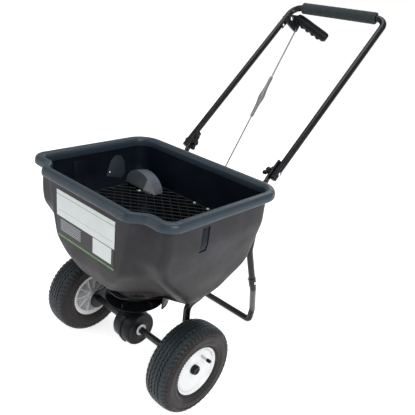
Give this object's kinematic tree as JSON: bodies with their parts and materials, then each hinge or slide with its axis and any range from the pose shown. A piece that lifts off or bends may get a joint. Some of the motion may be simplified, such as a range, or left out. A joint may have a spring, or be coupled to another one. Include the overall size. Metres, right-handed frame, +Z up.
{
  "type": "walk-behind fertilizer spreader",
  "caption": "Walk-behind broadcast spreader: lobed hopper over a geared impeller, two wheels, folding tube handle with foam grip and gate lever.",
  "frame": {"origin": "centre of the foot of the bounding box, on the ground", "axes": "+Y from the wheels towards the handle, +Z up, +X along the axle towards the driven wheel"},
  "size_m": [0.572, 1.0988, 1.0455],
  "materials": {
    "hopper_plastic": "moulded, fine grain",
    "label_film": "printed film, plain bands",
    "white_plastic": "moulded",
    "nylon": "moulded",
    "tyre_rubber": "moulded tread",
    "valve_rubber": "smooth",
    "foam": "closed-cell foam",
    "steel": "zinc plated",
    "frame_paint": "black powder coat",
    "screen_plastic": "moulded",
    "black_plastic": "moulded"
  },
  "bodies": {
    "chassis": {"hopper": "hopper_plastic", "hopper_bottom": "black_plastic", "deflector": "black_plastic", "label": "label_film", "screen": "screen_plastic", "screen_clip_left": "steel", "screen_clip_right": "steel", "baffle": "steel", "baffle_screw": "steel", "wall_plate": "steel", "wall_plate_screw": "steel", "housing_left": "black_plastic", "housing_right": "black_plastic", "housing_bush_left": "nylon", "housing_bush_right": "nylon", "frame_left": "frame_paint", "frame_right": "frame_paint", "axle_bush_left": "nylon", "axle_bush_right": "nylon", "hopper_bolt_left": "steel", "hopper_bolt_right": "steel", "stand": "frame_paint", "stand_bolt_left": "steel", "stand_bolt_right": "steel", "frame_plug_left": "black_plastic", "frame_plug_right": "black_plastic"},
    "axle_set": {"axle": "steel", "gear_pin": "steel", "drive_pin": "steel", "crown_gear": "nylon", "rim_right": "white_plastic", "tyre_right": "tyre_rubber", "valve_right": "valve_rubber", "hub_cap_right": "black_plastic", "hub_cap_left": "black_plastic"},
    "free_wheel": {"rim_left": "white_plastic", "tyre_left": "tyre_rubber", "valve_left": "valve_rubber"},
    "impeller_set": {"impeller": "black_plastic", "impeller_shaft": "steel", "pinion": "nylon", "agitator": "steel"},
    "handle_set": {"handle": "frame_paint", "foam_grip": "foam", "handle_plug_left": "black_plastic", "handle_plug_right": "black_plastic", "fold_bolt_left": "steel", "fold_bolt_right": "steel", "lever_bracket": "frame_paint", "bracket_bolt": "steel"},
    "lever_set": {"lever": "black_plastic", "lever_pivot": "steel"},
    "gate": {"gate_plate": "steel"},
    "control_rod": {"rod_upper": "steel", "rod_lower": "steel", "adjuster": "steel"},
    "left_knob": {"knob_left": "black_plastic"},
    "right_knob": {"knob_right": "black_plastic"}
  },
  "joints": [
    {"name": "axle_spin", "type": "hinge", "parent": "chassis", "child": "axle_set", "pos_m": [0, -0.35636, 0.127], "axis": [1, 0, 0], "continuous": true},
    {"name": "free_wheel_spin", "type": "hinge", "parent": "axle_set", "child": "free_wheel", "pos_m": [0, -0.35636, 0.127], "axis": [1, 0, 0], "continuous": true},
    {"name": "impeller_spin", "type": "hinge", "parent": "chassis", "child": "impeller_set", "pos_m": [0, -0.35636, 0.228], "axis": [0, 0, 1], "continuous": true},
    {"name": "handle_fold", "type": "hinge", "parent": "chassis", "child": "handle_set", "pos_m": [0, -0.00136, 0.5966], "axis": [1, 0, 0], "range_deg": [0, 120]},
    {"name": "lever_turn", "type": "hinge", "parent": "handle_set", "child": "lever_set", "pos_m": [0, 0.43847, 0.98985], "axis": [1, 0, 0], "range_deg": [0, 10.88]},
    {"name": "gate_slide", "type": "slide", "parent": "chassis", "child": "gate", "axis": [0, 1, 0], "range_m": [0, 0.01352]},
    {"name": "rod_swing", "type": "hinge", "parent": "gate", "child": "control_rod", "pos_m": [0, -0.20636, 0.272], "axis": [1, 0, 0], "range_deg": [0, 0.595]},
    {"name": "left_knob_turn", "type": "hinge", "parent": "handle_set", "child": "left_knob", "pos_m": [0, -0.00136, 0.5966], "axis": [1, 0, 0], "continuous": true},
    {"name": "right_knob_turn", "type": "hinge", "parent": "handle_set", "child": "right_knob", "pos_m": [0, -0.00136, 0.5966], "axis": [1, 0, 0], "continuous": true}
  ],
  "couplings": [
    {"joint": "impeller_spin", "follows": "axle_spin", "ratio": -4},
    {"joint": "gate_slide", "follows": "lever_turn", "m_per_rad": 0.071063},
    {"joint": "rod_swing", "follows": "lever_turn", "ratio": 0.054335}
  ]
}
